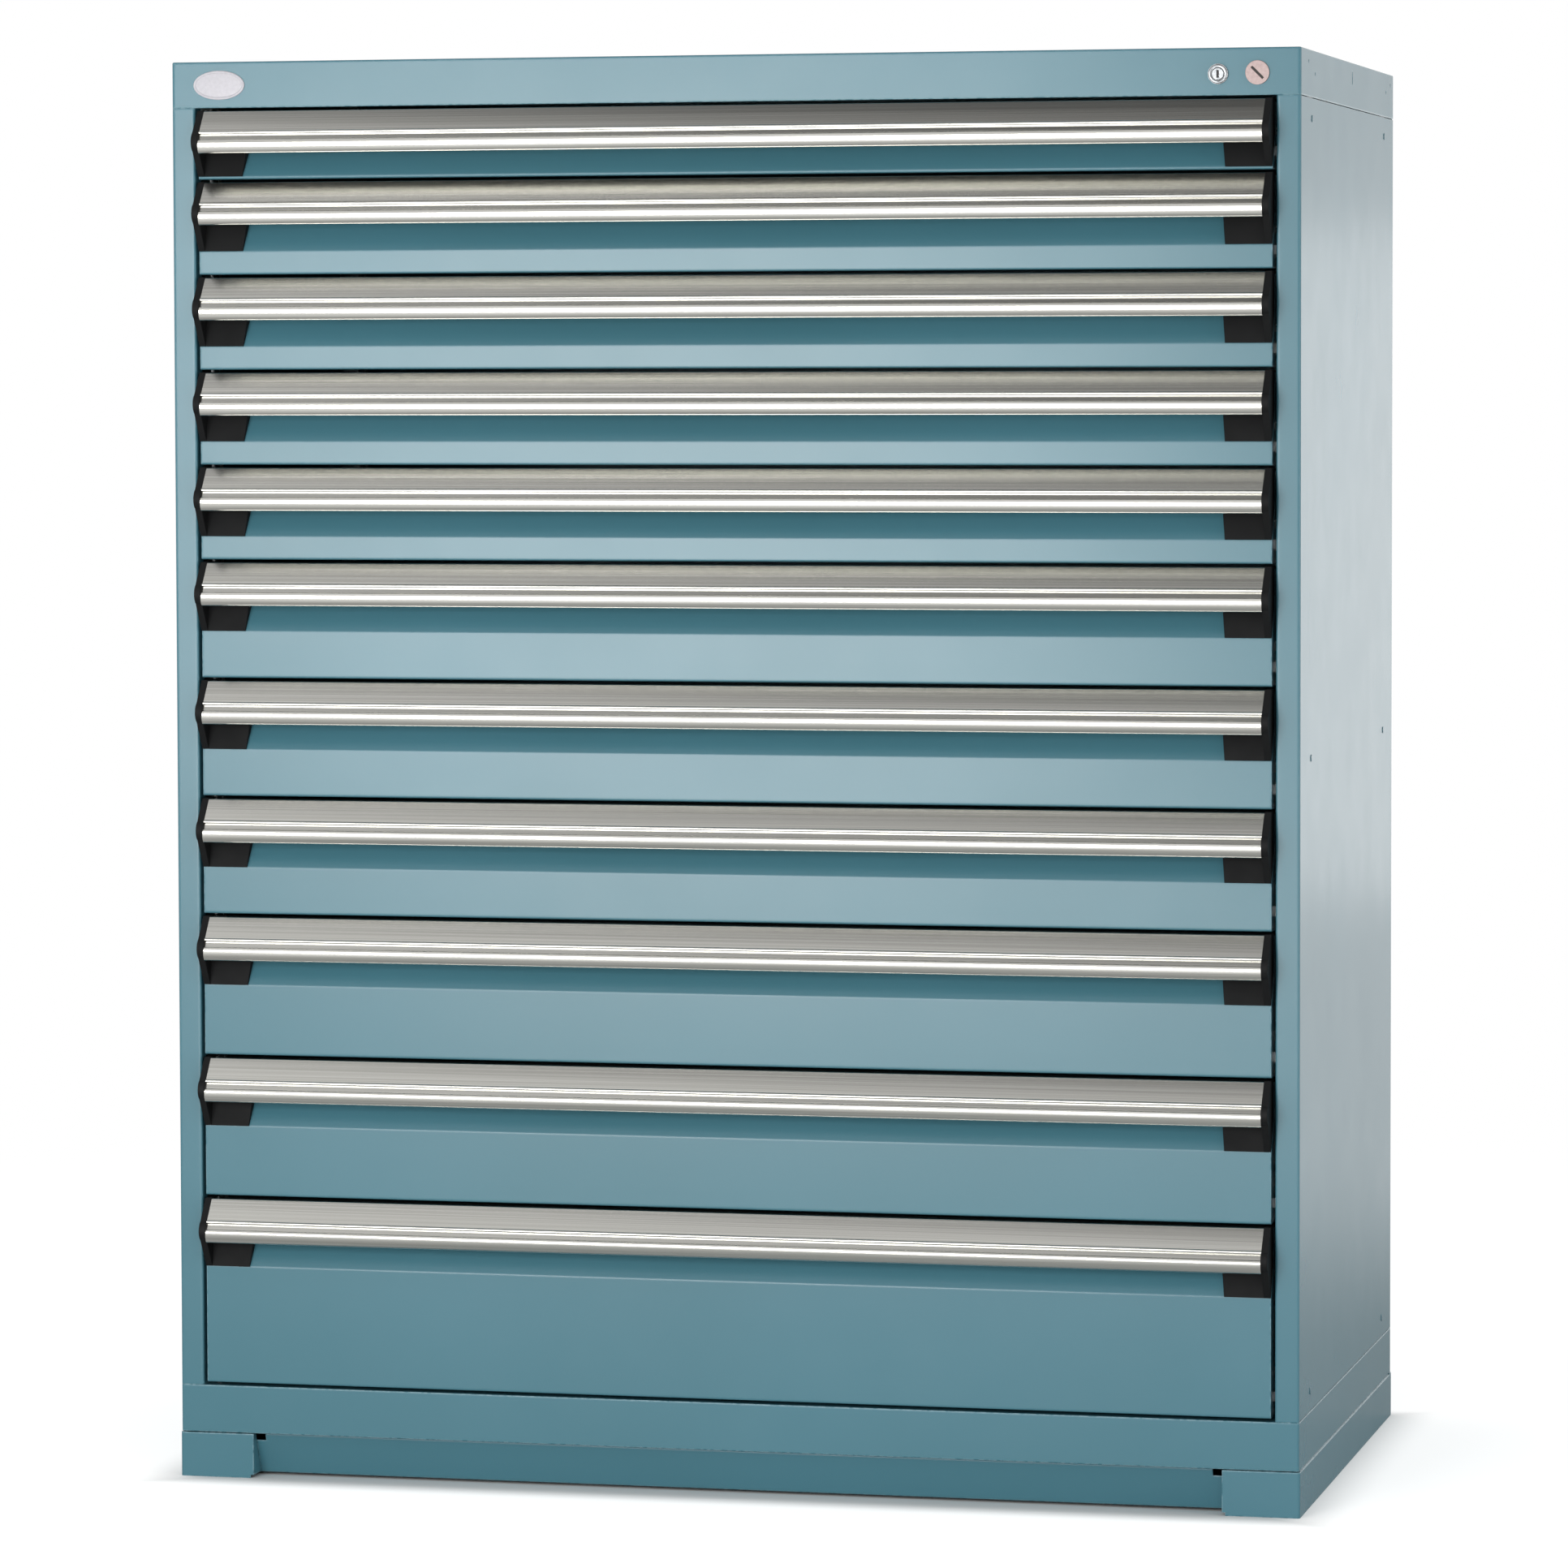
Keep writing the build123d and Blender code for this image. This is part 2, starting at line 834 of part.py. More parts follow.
right_panel = side_panel()
save("side_panel_right", [right_panel])
save("side_panel_left", [mirror(right_panel, about=Plane.YZ)])
save("top_cover", [top_cover()])
save("bottom_pan", [bottom_pan()])
save("back_panel", [back_panel()])
save("base_frame", base_frame())
save("toe_kick_plate", [toe_kick_plate()])
save("uprights", uprights())
save("fixed_runners", fixed_runners())
save("rivets", rivets())
save("lock_barrel", lock_barrel())
save("lock_plug", lock_plug())
save("lock_bar", [lock_bar()])
save("lock_guides", lock_guides())
save("blanking_cap", [blanking_cap()])
save("name_plate", [name_plate()])

handle_shape = handle()
for number, (ceiling, pitch) in enumerate(zip(drawer_ceilings, drawer_pitches), start=1):
    raised = Pos(0, 0, ceiling)
    save(f"drawer_{number:02d}_box", drawer_box(ceiling, pitch))
    save(f"drawer_{number:02d}_handle", [raised * handle_shape])
    save(f"drawer_{number:02d}_end_caps", pair([raised * end_cap(pitch)]))
    save(f"drawer_{number:02d}_slides", slides(ceiling - pitch))
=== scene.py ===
import bmesh
import bpy
import numpy as np
from mathutils import Matrix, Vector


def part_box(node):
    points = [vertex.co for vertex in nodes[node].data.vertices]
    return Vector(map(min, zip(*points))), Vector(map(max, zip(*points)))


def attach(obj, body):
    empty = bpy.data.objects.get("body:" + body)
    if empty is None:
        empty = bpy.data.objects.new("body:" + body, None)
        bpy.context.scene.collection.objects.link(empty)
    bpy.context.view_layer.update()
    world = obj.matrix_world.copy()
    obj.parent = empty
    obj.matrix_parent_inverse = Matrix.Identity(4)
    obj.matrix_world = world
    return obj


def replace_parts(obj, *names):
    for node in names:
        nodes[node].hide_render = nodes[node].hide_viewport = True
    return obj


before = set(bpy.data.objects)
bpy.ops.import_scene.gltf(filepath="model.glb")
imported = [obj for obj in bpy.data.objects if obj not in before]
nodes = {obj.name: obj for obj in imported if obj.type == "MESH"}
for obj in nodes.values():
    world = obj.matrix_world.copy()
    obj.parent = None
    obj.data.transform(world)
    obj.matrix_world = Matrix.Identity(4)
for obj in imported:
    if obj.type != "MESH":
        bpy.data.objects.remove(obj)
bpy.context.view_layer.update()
print("frame loaded:", len(nodes), "nodes")

mm = 0.001
drawerNames = sorted({name[:9] for name in nodes if name.startswith("drawer_")})


def linear(hexText):
    # sRGB hex to linear: c / 12.92 below 0.04045, else ((c + 0.055) / 1.055) ** 2.4
    c = np.array([int(hexText[i:i + 2], 16) for i in (1, 3, 5)]) / 255
    return (*np.where(c <= 0.04045, c / 12.92, ((c + 0.055) / 1.055) ** 2.4), 1.0)


def addNode(tree, kind, inputs=None, stops=(), **properties):
    # inputs go to sockets by name or number, each a value or another node's output; stops are the places and colours
    # of a colour ramp, a grey or a hex each
    made = tree.nodes.new("ShaderNode" + kind)
    for name, value in properties.items():
        setattr(made, name, value)
    for name, value in (inputs or {}).items():
        if isinstance(value, bpy.types.NodeSocket):
            tree.links.new(value, made.inputs[name])
        else:
            made.inputs[name].default_value = value
    for i, (place, colour) in enumerate(stops):
        points = made.color_ramp.elements
        point = points[i] if i < 2 else points.new(place)
        point.position = place
        point.color = linear(colour) if isinstance(colour, str) else (colour, colour, colour, 1)
    return made


def newMaterial(name):
    material = bpy.data.materials.new(name)
    material.use_nodes = True
    material.node_tree.nodes.clear()
    return material, material.node_tree


# ---- materials ----

# nearly all of a noise lies between these two values
noiseLow, noiseHigh = 0.3, 0.7

# baked enamel on folded steel sheet: a blue-grey skin with a soft gloss, so the studio light lies on it as one broad
# glow and every fold draws a thin bright line, helped by a painted highlight of paler blue along the folds; a faint
# orange peel keeps the glow from looking like glass
enamel = {
    "colour": "#487987",
    "shade": "#457582",
    # paler blue painted along the folds as a highlight
    "foldShine": "#9bbfca",
    "roughness": (0.245, 0.265),
    "peelSize": 7.0 * mm,
    "peelDepth": 0.004 * mm,
    "foldRadius": 2.6 * mm,
    # painted highlight on the folds, a paler blue standing in for the light they catch: it grows from none to its
    # full share between these agreements of the rounded with the flat normal, and a noise breaks it into patches
    # between two values
    "foldAgree": (0.98, 0.84),
    "foldShineMost": 0.7,
    "patchSpan": (0.36, 0.56),
    # patterns counted per metre, here and below: broad shade, uneven gloss, patches of the painted highlight on the
    # folds
    "clouds": 2.2,
    "smears": 14.0,
    "patches": 160.0,
}


def makeEnamel(look):
    material, tree = newMaterial("baked_enamel_blue_grey")
    place = addNode(tree, "TexCoord").outputs["Object"]
    cloud = addNode(tree, "TexNoise", {"Vector": place, "Scale": look["clouds"], "Detail": 2.0}).outputs[0]
    smear = addNode(tree, "TexNoise", {"Vector": place, "Scale": look["smears"], "Detail": 4.0}).outputs[0]
    # real peel is about 2 mm from crest to crest, drawn at 7 mm so that it still shows
    peel = addNode(tree, "TexNoise", {"Vector": place, "Scale": 1 / look["peelSize"], "Detail": 1.0}).outputs[0]
    # the patches of painted highlight on the folds are drawn 6 mm wide so that they show;
    # rubbed spots are drawn 6 mm wide, several times coarser than real, so that they show
    grain = addNode(tree, "TexNoise", {"Vector": place, "Scale": look["patches"], "Detail": 5.0}).outputs[0]
    body = addNode(tree, "ValToRGB", {"Fac": cloud}, stops=[(0.35, look["shade"]), (0.65, look["colour"])])
    # a fold is where the rounded normal leaves the flat one
    rounded = addNode(tree, "Bevel", {"Radius": look["foldRadius"]}, samples=6).outputs["Normal"]
    flat = addNode(tree, "NewGeometry").outputs["True Normal"]
    agree = addNode(tree, "VectorMath", {0: rounded, 1: flat}, operation="DOT_PRODUCT").outputs["Value"]
    edge = addNode(tree, "MapRange", {"Value": agree, "From Min": look["foldAgree"][0],
                                      "From Max": look["foldAgree"][1], "To Max": look["foldShineMost"]}).outputs[0]
    patchy = addNode(tree, "MapRange", {"Value": grain, "From Min": look["patchSpan"][0],
                                     "From Max": look["patchSpan"][1]}).outputs[0]
    # painted highlight: the folds are mixed toward the paler blue, in patches
    foldShine = addNode(tree, "Math", {0: edge, 1: patchy}, operation="MULTIPLY").outputs[0]
    paint = addNode(tree, "MixRGB", {"Fac": foldShine, "Color1": body.outputs[0],
                                     "Color2": linear(look["foldShine"])}).outputs[0]
    rough = addNode(tree, "MapRange", {"Value": smear, "From Min": noiseLow, "From Max": noiseHigh,
                                       "To Min": look["roughness"][0], "To Max": look["roughness"][1]}).outputs[0]
    bump = addNode(tree, "Bump", {"Height": peel, "Normal": rounded, "Strength": 0.5, "Distance": look["peelDepth"]})
    shader = addNode(tree, "BsdfPrincipled", {"Base Color": paint, "Roughness": rough, "Normal": bump.outputs[0],
                                             "IOR": 1.5})
    addNode(tree, "OutputMaterial", {"Surface": shader.outputs[0]})
    return material


# extruded aluminium, satin anodised: straight die lines run along the handle and blur every reflection across it
anodised = {"dark": "#b6b5af", "light": "#cccbc6", "roughness": (0.2, 0.24), "dieLine": 1.4 * mm, "bands": 90.0}


def makeAnodised(look):
    material, tree = newMaterial("anodised_aluminium_extruded")
    place = addNode(tree, "TexCoord").outputs["Object"]
    # real die lines are finer than a pixel, so they are drawn 1.4 mm apart; they run straight, so x hardly counts;
    # broad bands, 90 in a metre, dull and brighten them
    along = addNode(tree, "Mapping", {"Vector": place, "Scale": (0.002, 1, 1)}).outputs[0]
    line = addNode(tree, "TexNoise", {"Vector": along, "Scale": 1 / look["dieLine"], "Detail": 1.0}).outputs[0]
    broad = addNode(tree, "TexNoise", {"Vector": along, "Scale": look["bands"], "Detail": 2.0}).outputs[0]
    rough = addNode(tree, "MapRange", {"Value": broad, "From Min": noiseLow, "From Max": noiseHigh,
                                       "To Min": look["roughness"][0], "To Max": look["roughness"][1]}).outputs[0]
    tint = addNode(tree, "ValToRGB", {"Fac": line}, stops=[(0.25, look["dark"]), (0.75, look["light"])]).outputs[0]
    scratch = addNode(tree, "Bump", {"Height": line, "Strength": 0.05, "Distance": 0.01 * mm})
    shader = addNode(tree, "BsdfPrincipled", {"Base Color": tint, "Roughness": rough, "Normal": scratch.outputs[0],
                                             "Metallic": 1.0})
    addNode(tree, "OutputMaterial", {"Surface": shader.outputs[0]})
    return material


# moulded ABS with a spark-eroded grain: near black, so matt that the softbox leaves only a haze on it
blackAbs = {"dark": "#08090a", "light": "#0d0e0f", "grain": 0.9 * mm, "roughness": (0.62, 0.74),
            "edgeRadius": 1.2 * mm, "clouds": 30.0}


def makeBlackAbs(look):
    material, tree = newMaterial("moulded_abs_black")
    place = addNode(tree, "TexCoord").outputs["Object"]
    grain = addNode(tree, "TexNoise", {"Vector": place, "Scale": 1 / look["grain"], "Detail": 2.0}).outputs[0]
    cloud = addNode(tree, "TexNoise", {"Vector": place, "Scale": look["clouds"], "Detail": 3.0}).outputs[0]
    rough = addNode(tree, "MapRange", {"Value": cloud, "From Min": noiseLow, "From Max": noiseHigh,
                                       "To Min": look["roughness"][0], "To Max": look["roughness"][1]}).outputs[0]
    tint = addNode(tree, "ValToRGB", {"Fac": cloud},
                   stops=[(noiseLow, look["dark"]), (noiseHigh, look["light"])]).outputs[0]
    rounded = addNode(tree, "Bevel", {"Radius": look["edgeRadius"]}, samples=4).outputs[0]
    bump = addNode(tree, "Bump", {"Height": grain, "Normal": rounded, "Strength": 0.3, "Distance": 0.03 * mm})
    shader = addNode(tree, "BsdfPrincipled", {"Base Color": tint, "Roughness": rough, "Normal": bump.outputs[0],
                                             "IOR": 1.53, "Specular IOR Level": 0.2})
    addNode(tree, "OutputMaterial", {"Surface": shader.outputs[0]})
    return material


# zinc plated steel: cool grey metal with the cloudy bloom that passivation leaves
zinc = {"bloom": 18 * mm, "grains": 700.0, "roughness": (0.28, 0.46),
        "stops": [(0.3, "#a3a8ab"), (0.55, "#b6b9ba"), (0.75, "#bdbcb4")]}


def makeZinc(look):
    material, tree = newMaterial("zinc_plated_steel")
    place = addNode(tree, "TexCoord").outputs["Object"]
    bloom = addNode(tree, "TexNoise", {"Vector": place, "Scale": 1 / look["bloom"], "Detail": 4.0}).outputs[0]
    grain = addNode(tree, "TexNoise", {"Vector": place, "Scale": look["grains"], "Detail": 2.0}).outputs[0]
    tint = addNode(tree, "ValToRGB", {"Fac": bloom}, stops=look["stops"])
    rough = addNode(tree, "MapRange", {"Value": bloom, "From Min": noiseLow, "From Max": noiseHigh,
                                       "To Min": look["roughness"][0], "To Max": look["roughness"][1]}).outputs[0]
    bump = addNode(tree, "Bump", {"Height": grain, "Strength": 0.2, "Distance": 0.02 * mm})
    shader = addNode(tree, "BsdfPrincipled", {"Base Color": tint.outputs[0], "Roughness": rough,
                                             "Normal": bump.outputs[0], "Metallic": 1.0})
    addNode(tree, "OutputMaterial", {"Surface": shader.outputs[0]})
    return material


# plated or lacquered small fittings: wipe marks, 260 in a metre, over a smooth coat, edges rounded by the plating
wipes = 260.0
platedEdge = 0.7 * mm
fittings = {
    "chrome_plate": {"colours": ("#85888a", "#9b9ea0"), "roughness": (0.14, 0.2), "metallic": 1.0},
    "nickel_plate_dull": {"colours": ("#877876", "#9d8e8b"), "roughness": (0.4, 0.5), "metallic": 1.0},
    "silver_lacquer": {"colours": ("#bdbbc1", "#c8c6cc"), "roughness": (0.36, 0.44), "metallic": 0.0},
    # painted shade: a dark matt finish that lines the slots, where there is only shade
    "painted_slot_shade": {"colours": ("#191613", "#2a2522"), "roughness": (0.5, 0.6), "metallic": 0.0},
}


def makeFitting(name):
    look = fittings[name]
    material, tree = newMaterial(name)
    place = addNode(tree, "TexCoord").outputs["Object"]
    wipe = addNode(tree, "TexNoise", {"Vector": place, "Scale": wipes, "Detail": 3.0}).outputs[0]
    tint = addNode(tree, "ValToRGB", {"Fac": wipe}, stops=zip((noiseLow, noiseHigh), look["colours"]))
    rough = addNode(tree, "MapRange", {"Value": wipe, "From Min": noiseLow, "From Max": noiseHigh,
                                       "To Min": look["roughness"][0], "To Max": look["roughness"][1]}).outputs[0]
    rounded = addNode(tree, "Bevel", {"Radius": platedEdge}, samples=4).outputs[0]
    bump = addNode(tree, "Bump", {"Height": wipe, "Normal": rounded, "Strength": 0.1, "Distance": 0.02 * mm})
    shader = addNode(tree, "BsdfPrincipled", {"Base Color": tint.outputs[0], "Roughness": rough,
                                             "Normal": bump.outputs[0], "Metallic": look["metallic"]})
    addNode(tree, "OutputMaterial", {"Surface": shader.outputs[0]})
    return material


# moulded nylon: milky white, slightly waxy
nylon = {"dark": "#dcd9cf", "light": "#e8e6df", "clouds": 60.0, "roughness": 0.4}


def makeNylon(look):
    material, tree = newMaterial("moulded_nylon_white")
    place = addNode(tree, "TexCoord").outputs["Object"]
    cloud = addNode(tree, "TexNoise", {"Vector": place, "Scale": look["clouds"], "Detail": 2.0}).outputs[0]
    tint = addNode(tree, "ValToRGB", {"Fac": cloud},
                   stops=[(noiseLow, look["dark"]), (noiseHigh, look["light"])]).outputs[0]
    bump = addNode(tree, "Bump", {"Height": cloud, "Strength": 0.1, "Distance": 0.05 * mm}).outputs[0]
    shader = addNode(tree, "BsdfPrincipled", {"Base Color": tint, "Normal": bump, "Roughness": look["roughness"],
                                             "IOR": 1.53})
    addNode(tree, "OutputMaterial", {"Surface": shader.outputs[0]})
    return material


finishes = {
    "paint": makeEnamel(enamel),
    "handle_aluminium": makeAnodised(anodised),
    "black_plastic": makeBlackAbs(blackAbs),
    "zinc_steel": makeZinc(zinc),
    "chrome": makeFitting("chrome_plate"),
    "nickel": makeFitting("nickel_plate_dull"),
    "white_plastic": makeNylon(nylon),
    "lacquer": makeFitting("silver_lacquer"),
    "slot_shade": makeFitting("painted_slot_shade"),
}
for item in nodes.values():
    for slot in item.material_slots:
        slot.material = finishes[slot.material.name]
print("materials made")

# ---- pieces ----


def arc(a, b, c, steps):
    # circle through three points: its centre is where the two chord bisectors cross, then equal turns from a past b
    # to c
    a, b, c = (np.array(p, float) for p in (a, b, c))
    chords = np.array([b - a, c - b])
    centre = np.linalg.solve(chords, np.array([(b @ b - a @ a) / 2, (c @ c - b @ b) / 2]))
    turns = [np.arctan2(*(p - centre)[::-1]) for p in (a, b, c)]
    sweep = (turns[2] - turns[0]) % (2 * np.pi)
    if (turns[1] - turns[0]) % (2 * np.pi) > sweep:
        sweep -= 2 * np.pi
    angles = turns[0] + sweep * np.linspace(0, 1, steps + 1)
    return centre + np.hypot(*(a - centre)) * np.stack([np.cos(angles), np.sin(angles)], 1)


def makePiece(name, rings, slotName, body, finish=None, sharp=32):
    # a skin over rings of equal count, joined ring to ring by four-sided faces, its two ends closed by one face each
    count, around = len(rings), len(rings[0])
    a = np.arange((count - 1) * around)
    b = a - a % around + (a + 1) % around
    faces = np.stack([a, b, b + around, a + around], 1).tolist()
    faces += [list(range(around)), list(range((count - 1) * around, count * around))]
    mesh = bpy.data.meshes.new(name)
    mesh.from_pydata(np.concatenate(rings).tolist(), [], faces)
    work = bmesh.new()
    work.from_mesh(mesh)
    bmesh.ops.recalc_face_normals(work, faces=work.faces)
    work.to_mesh(mesh)
    work.free()
    mesh.shade_smooth()
    mesh.set_sharp_from_angle(angle=np.radians(sharp))
    mesh.materials.append(finishes[finish or slotName])
    item = bpy.data.objects.new(name, mesh)
    bpy.context.scene.collection.objects.link(item)
    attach(item, body)
    return item


# handle, in mm: y from the front plane of the housing, z from the top of the drawer's own space. The leaning label
# face has a small round bead at its foot, then a valley that leans as the face does, then the full grip bead, tight
# above its nose and long below it; the rear is the wall behind the beads and the web with its hanging leg
handle = {
    "half": 573.0,
    "faceTop": (-3.0, -2.0),
    "faceFoot": (-19.3, -23.4),
    "bead": ((-19.6, -23.4), (-21.2, -25.1), (-20.3, -27.4)),
    "valley": (-19.6, -27.9),
    "gripTop": (-23.5, -32.7),
    "gripNose": (-26.0, -36.9),
    "gripFoot": (-20.4, -47.6),
    "rear": ((-15.2, -46.4), (-15.2, -44.5), (-16.1, -25.0), (-1.9, -4.2), (13.8, -4.2), (13.8, -38.2),
             (16.0, -38.2), (16.0, -4.2), (24.0, -4.2), (24.0, -2.0)),
    "steps": 12,
    # the top edge is eased by an arc through two points set from the top of the face and one this far down it
    "topEdge": ((0.9, 0.0), (0.2, -0.1)),
    "topEase": 0.7,
    "topSteps": 5,
}


def handleOutline(look):
    top, foot = np.array(look["faceTop"]), np.array(look["faceFoot"])
    down = (foot - top) / np.hypot(*(foot - top))
    # the top edge is eased by an arc from the web to the face, the small bead is one arc
    back, crest = look["topEdge"]
    nose = arc(top + back, top + crest, top + down * look["topEase"], look["topSteps"])
    bead = arc(*look["bead"], look["steps"])
    # the grip bead is a short quarter ellipse above its nose, y = yTop - a sin t, z = zNose + b cos t, and a longer
    # one below it, y = yFoot - a cos t, z = zNose - b sin t
    (yTop, zTop), (yNose, zNose), (yFoot, zFoot) = look["gripTop"], look["gripNose"], look["gripFoot"]
    t = np.linspace(0, np.pi / 2, look["steps"] + 1)
    upper = np.stack([yTop + (yNose - yTop) * np.sin(t), zNose + (zTop - zNose) * np.cos(t)], 1)
    lower = np.stack([yFoot + (yNose - yFoot) * np.cos(t), zNose + (zFoot - zNose) * np.sin(t)], 1)[1:]
    return np.concatenate([nose, [foot], bead, [look["valley"]], upper, lower, look["rear"]])


def makeHandles(look):
    # the node's rear edge and top are the last point of the outline, so each section is shifted by where they lie
    outline = handleOutline(look) * mm
    for name in drawerNames:
        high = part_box(name + "_handle")[1]
        section = outline + [high[1] - look["rear"][-1][0] * mm, high[2] - look["rear"][-1][1] * mm]
        rings = [np.column_stack([np.full(len(section), x * mm), section]) for x in (-look["half"], look["half"])]
        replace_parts(makePiece(name + "_handle_extrusion", rings, "handle_aluminium", name), name + "_handle")


makeHandles(handle)
print("handles made")


# oval plate left bare, in mm: a faintly crowned field inside a soft rim of even width
plate = {"rim": 2.6, "height": 2.0, "field": 1.2, "crown": 0.4, "around": 96, "rimSteps": 8, "shares": (0.9, 0.04, 8)}


def makePlate(look):
    low, high = map(np.array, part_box("name_plate"))
    centre, half = (low + high)[[0, 2]] / 2, (high - low)[[0, 2]] / 2 / mm
    angle = np.linspace(0, 2 * np.pi, look["around"], endpoint=False)
    ellipse = np.stack([np.cos(angle), np.sin(angle)], 1)
    rise = look["height"] - look["field"]
    # rim: ellipses drawn in by rim (1 - cos t) / 2 on both axes, at height field + rise sin t
    rim = [(half - look["rim"] * (0.5 - 0.5 * np.cos(t)), look["field"] + rise * np.sin(t))
           for t in np.linspace(0, np.pi, look["rimSteps"] + 1)]
    # field: ellipses shrunk to a share s, at height field + crown (1 - s^2)
    field = [((half - look["rim"]) * s, look["field"] + look["crown"] * (1 - s ** 2))
             for s in np.linspace(*look["shares"])]
    rings = []
    for reach, height in [(half, 0.0)] + rim + field:
        flat = centre + ellipse * reach * mm
        rings.append(np.column_stack([flat[:, 0], np.full(len(flat), high[1] - height * mm), flat[:, 1]]))
    item = makePiece("name_plate_oval", rings, "chrome", "housing", "lacquer", sharp=50)
    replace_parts(item, "name_plate")


# bezel of the lock, in mm: a rounded ring whose bright crown falls to a shallow dish round the plug
bezel = {"outer": 10.6, "crest": 8.6, "inner": 6.3, "height": 2.9, "dish": 2.1, "barrelProud": 2.0, "around": 64,
         "steps": 8}


def makeBezel(look):
    low, high = map(np.array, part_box("lock_barrel"))
    x, z = (low + high)[[0, 2]] / 2
    front = low[1] + look["barrelProud"] * mm
    # turned profile: radius and height over the header follow quarter turns, r = crest + a cos t, h = height sin t
    t = np.linspace(0, np.pi / 2, look["steps"])
    crown = np.stack([look["crest"] + (look["outer"] - look["crest"]) * np.cos(t), look["height"] * np.sin(t)], 1)
    fall = np.stack([look["crest"] - (look["crest"] - look["inner"]) * np.sin(t)[1:],
                     look["dish"] + (look["height"] - look["dish"]) * np.cos(t)[1:]], 1)
    angle = np.linspace(0, 2 * np.pi, look["around"], endpoint=False)
    rings = [np.stack([x + radius * mm * np.cos(angle), np.full(len(angle), front - height * mm),
                       z + radius * mm * np.sin(angle)], 1) for radius, height in np.concatenate([crown, fall])]
    makePiece("lock_bezel_ring", rings, "chrome", "housing", sharp=60)


# painted shade: a dark lining put inside the key slot and the slot of the second insert, where there is only shade, a
# little below the metal's face; half sizes in mm, turn in degrees, sunk is the depth under the front of the node that
# it is centred on (the plug stands 1 mm proud of its barrel, so that one is negative)
slots = [
    {"name": "lock_keyway", "node": "lock_barrel", "body": "lock", "half": (1.15, 3.9), "turn": 0, "sunk": -0.6,
     "deep": 2.0},
    {"name": "insert_slot", "node": "blanking_cap", "body": "housing", "half": (8.4, 1.1), "turn": -45, "sunk": 0.5,
     "deep": 0.6},
]
slotSquareness = 0.3
slotPoints = 32


def makeSlots(looks):
    for look in looks:
        low, high = map(np.array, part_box(look["node"]))
        centre = (low + high)[[0, 2]] / 2
        # superellipse: x = a |cos t|^q, z = b |sin t|^q with their signs, a box with rounded corners
        t = np.linspace(0, 2 * np.pi, slotPoints, endpoint=False)
        circle = np.stack([np.cos(t), np.sin(t)], 1)
        flat = np.sign(circle) * abs(circle) ** slotSquareness
        turn = np.radians(look["turn"])
        spin = np.array([[np.cos(turn), np.sin(turn)], [-np.sin(turn), np.cos(turn)]])
        flat = centre + flat * look["half"] * mm @ spin
        rings = [np.column_stack([flat[:, 0], np.full(slotPoints, low[1] + depth * mm), flat[:, 1]])
                 for depth in (look["sunk"], look["sunk"] + look["deep"])]
        makePiece(look["name"], rings, "black_plastic", look["body"], "slot_shade")


makePlate(plate)
makeBezel(bezel)
makeSlots(slots)
print("header fittings made")

# ---- studio ----

# pale floor and sky: white to the camera, and white to gloss where it is far enough away; on the object they light
# at a plain level
studio = {
    "floorSize": 40.0,
    "floorWhite": "#e3e3e2",
    "floorLift": 0.62,
    "nearFade": 1.05,
    "farFade": 3.0,
    "footprint": (0.62, 0.36),
    "footprintEdge": (0.9, 1.08),
    "sky": 0.56,
    # white walls up to 65 degrees darken to a ceiling at 79: height of the ray's direction, brightness
    "room": [(0.905, 1.0), (0.935, 0.5), (0.96, 0.12), (0.98, 0.03)],
}


def makeFloor(look):
    material, tree = newMaterial("studio_floor")
    path = addNode(tree, "LightPath")
    camera, glossy = path.outputs["Is Camera Ray"], path.outputs["Is Glossy Ray"]
    seen = addNode(tree, "Math", {0: camera, 1: glossy}, operation="MAXIMUM").outputs[0]
    place = addNode(tree, "TexCoord").outputs["Object"]
    reach = addNode(tree, "VectorMath", {0: place}, operation="LENGTH").outputs["Value"]
    fade = addNode(tree, "MapRange", {"Value": reach, "From Min": look["nearFade"], "From Max": look["farFade"]},
                   interpolation_type="SMOOTHSTEP").outputs[0]
    far = addNode(tree, "Math", {0: fade, 1: seen}, operation="MULTIPLY").outputs[0]
    # painted shade: the lift stops under the cabinet, so the floor there stays dark without any glow
    parts = addNode(tree, "SeparateXYZ", {"Vector": place})
    sizes = [addNode(tree, "Math", {0: parts.outputs[axis]}, operation="ABSOLUTE").outputs[0] for axis in "XY"]
    shares = [addNode(tree, "Math", {0: size, 1: half}, operation="DIVIDE").outputs[0]
              for size, half in zip(sizes, look["footprint"])]
    outside = addNode(tree, "Math", {0: shares[0], 1: shares[1]}, operation="MAXIMUM").outputs[0]
    clear = addNode(tree, "MapRange", {"Value": outside, "From Min": look["footprintEdge"][0],
                                       "From Max": look["footprintEdge"][1]},
                    interpolation_type="SMOOTHSTEP").outputs[0]
    shown = addNode(tree, "Math", {0: camera, 1: clear}, operation="MULTIPLY").outputs[0]
    lift = addNode(tree, "Math", {0: shown, 1: look["floorLift"]}, operation="MULTIPLY").outputs[0]
    matt = addNode(tree, "BsdfDiffuse", {"Color": linear(look["floorWhite"])}).outputs[0]
    glow = addNode(tree, "Emission", {"Strength": lift}).outputs[0]
    near = addNode(tree, "AddShader", {0: matt, 1: glow}).outputs[0]
    white = addNode(tree, "Emission", {"Strength": 1.0}).outputs[0]
    both = addNode(tree, "MixShader", {0: far, 1: near, 2: white}).outputs[0]
    addNode(tree, "OutputMaterial", {"Surface": both})
    half = look["floorSize"] / 2
    mesh = bpy.data.meshes.new("studio_floor")
    mesh.from_pydata([(-half, -half, 0), (half, -half, 0), (half, half, 0), (-half, half, 0)], [], [(0, 1, 2, 3)])
    floor = bpy.data.objects.new("studio_floor", mesh)
    floor.data.materials.append(material)
    bpy.context.scene.collection.objects.link(floor)


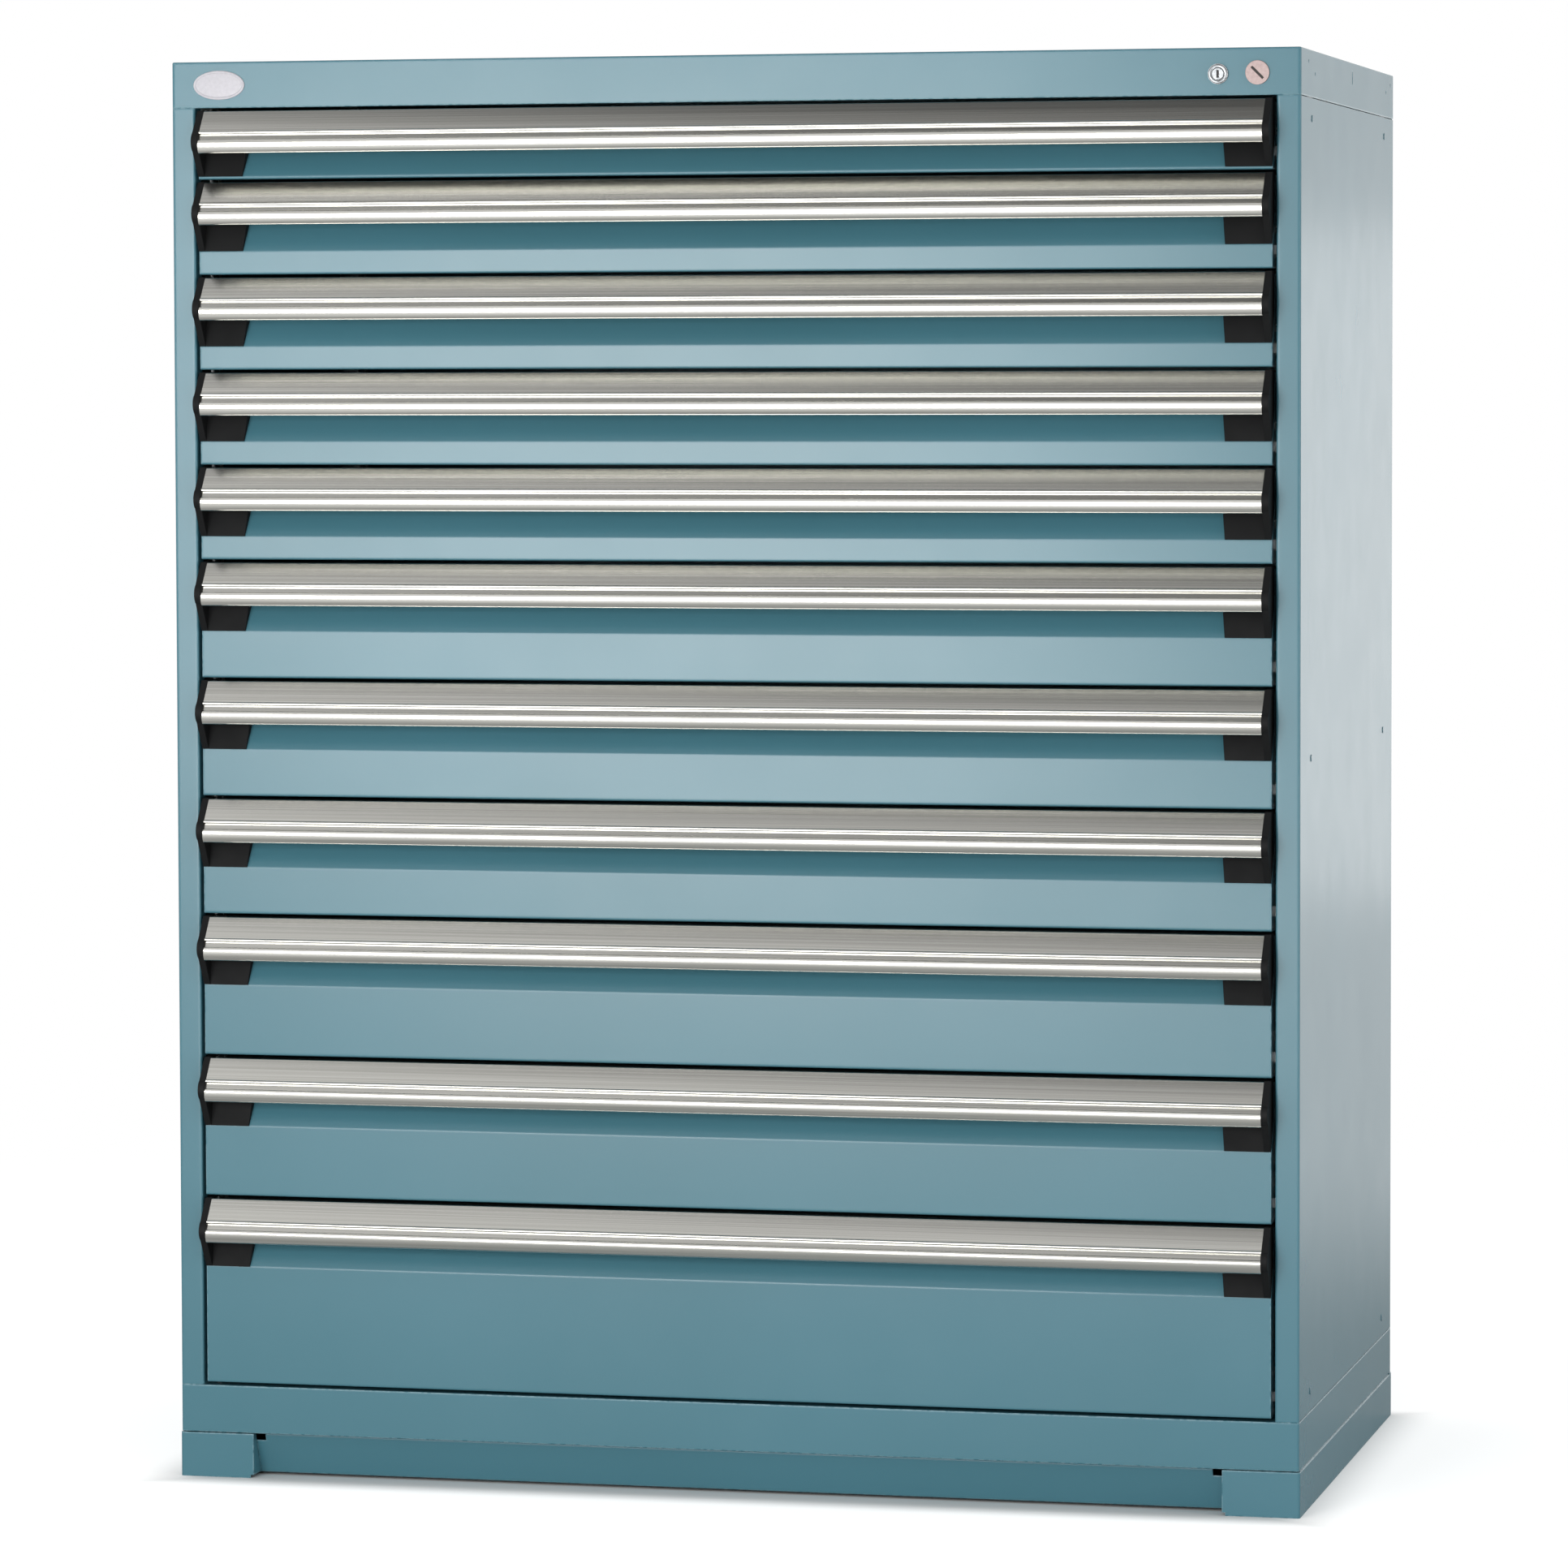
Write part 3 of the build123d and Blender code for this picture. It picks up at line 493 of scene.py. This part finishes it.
def makeSky(look):
    world = bpy.data.worlds.new("studio")
    world.use_nodes = True
    tree = world.node_tree
    tree.nodes.clear()
    path = addNode(tree, "LightPath")
    camera, through = path.outputs["Is Camera Ray"], path.outputs["Is Transmission Ray"]
    seen = addNode(tree, "Math", {0: camera, 1: through}, operation="MAXIMUM").outputs[0]
    direction = addNode(tree, "TexCoord").outputs["Generated"]
    parts = addNode(tree, "SeparateXYZ", {"Vector": direction})
    room = addNode(tree, "ValToRGB", {"Fac": parts.outputs["Z"]}, stops=look["room"]).outputs[0]
    gloss = addNode(tree, "Math", {0: room, 1: path.outputs["Is Glossy Ray"]}, operation="MULTIPLY").outputs[0]
    bright = addNode(tree, "Math", {0: gloss, 1: seen}, operation="MAXIMUM").outputs[0]
    # matt rays get the plain level, gloss rays only what the room shows them
    other = addNode(tree, "Math", {0: 1.0, 1: path.outputs["Is Glossy Ray"]}, operation="SUBTRACT").outputs[0]
    plain = addNode(tree, "Math", {0: other, 1: look["sky"]}, operation="MULTIPLY").outputs[0]
    strength = addNode(tree, "Math", {0: bright, 1: plain}, operation="MAXIMUM").outputs[0]
    sky = addNode(tree, "Background", {"Strength": strength, "Color": (1, 1, 1, 1)}).outputs[0]
    addNode(tree, "OutputWorld", {"Surface": sky})
    # the sky shows gloss and matt rays different things, so it is met by rays alone and never sampled as a lamp
    world.cycles.sampling_method = "NONE"
    bpy.context.scene.world = world


# softboxes: centre, turn about z in degrees (0 lights the front, 180 the back), size across and up in metres,
# radiance of the face
lamps = {
    "softbox_front_left": {"place": (-1.19, -4.4, 1.155), "turn": 0, "size": (1.9, 1.48), "radiance": 8.9},
    "strip_low": {"place": (0.36, -4.4, 0.22), "turn": 0, "size": (4.0, 0.4), "radiance": 6.6},
    "strip_right": {"place": (4.2, -1.2, 0.9), "turn": 77, "size": (0.5, 1.7), "radiance": 10.0},
    "panel_back_right": {"place": (1.6, 4.5, 0.85), "turn": 180, "size": (3.0, 1.2), "radiance": 0.55},
}


def addLamp(name, look):
    lamp = bpy.data.lights.new(name, "AREA")
    lamp.shape = "RECTANGLE"
    lamp.size, lamp.size_y = look["size"]
    # power of a matt face = radiance * pi * area
    lamp.energy = look["radiance"] * np.pi * lamp.size * lamp.size_y
    item = bpy.data.objects.new(name, lamp)
    turned = Matrix.Rotation(np.radians(look["turn"]), 4, "Z") @ Matrix.Rotation(np.pi / 2, 4, "X")
    item.matrix_world = Matrix.Translation(look["place"]) @ turned
    item.visible_camera = False
    bpy.context.scene.collection.objects.link(item)


makeFloor(studio)
makeSky(studio)
for name, look in lamps.items():
    addLamp(name, look)
print("studio lit")

# ---- camera ----

# fitted to the front's corners and the drawer gaps; the frame is square, its centre a little below the optical axis
view = {"place": (1.6171, -6.9041, 1.1927), "turn": 13.307, "down": 2.977, "roll": -0.149, "sensor": 36,
        "lens": 147.65, "shift": -0.0502, "farthest": 60}


def makeCamera(look):
    data = bpy.data.cameras.new("camera")
    data.sensor_width = look["sensor"]
    data.lens = look["lens"]
    data.shift_y = look["shift"]
    data.clip_end = look["farthest"]
    item = bpy.data.objects.new("camera", data)
    turn, down, roll = np.radians([look["turn"], look["down"], look["roll"]])
    turned = Matrix.Rotation(turn, 4, "Z") @ Matrix.Rotation(np.pi / 2 - down, 4, "X") @ Matrix.Rotation(roll, 4, "Z")
    item.matrix_world = Matrix.Translation(look["place"]) @ turned
    bpy.context.scene.collection.objects.link(item)
    bpy.context.scene.camera = item


makeCamera(view)
bpy.context.scene.view_settings.view_transform = "Standard"
print("camera set")
